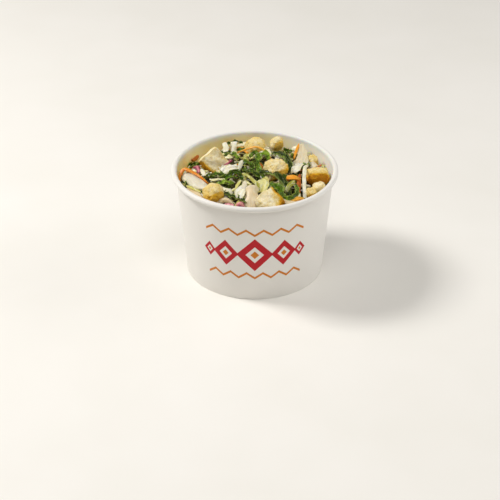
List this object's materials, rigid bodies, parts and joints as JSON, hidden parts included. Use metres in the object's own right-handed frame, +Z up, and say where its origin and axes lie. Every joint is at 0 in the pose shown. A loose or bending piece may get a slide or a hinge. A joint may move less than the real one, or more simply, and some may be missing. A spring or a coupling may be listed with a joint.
{
  "type": "coleslaw in a paper cup",
  "caption": "Round tapered paper food cup with a rolled rim, heaped with chopped cabbage, kale and carrot slaw and toasted croutons.",
  "frame": {"origin": "centre of the cup's foot, on the plane that it stands on", "axes": "+Z up along the cup's axis; the front of the cup faces -Y; +X to the right seen from the front"},
  "size_m": [0.09, 0.09, 0.0671],
  "materials": {
    "paperboard": "white coated paperboard, satin",
    "white_cabbage": "chopped white cabbage, moist with dressing",
    "kale": "chopped dark green leaf, moist",
    "carrot": "shredded carrot, moist",
    "red_cabbage": "chopped red cabbage, moist",
    "crouton": "toasted bread, dry and porous"
  },
  "bodies": {
    "root": {"cup_wall": "paperboard", "cup_base": "paperboard", "slaw": "white_cabbage", "crouton_1": "crouton", "crouton_2": "crouton", "crouton_3": "crouton", "crouton_4": "crouton", "crouton_5": "crouton", "crouton_6": "crouton", "crouton_7": "crouton", "crouton_8": "crouton", "crouton_9": "crouton", "crouton_10": "crouton"}
  },
  "joints": []
}
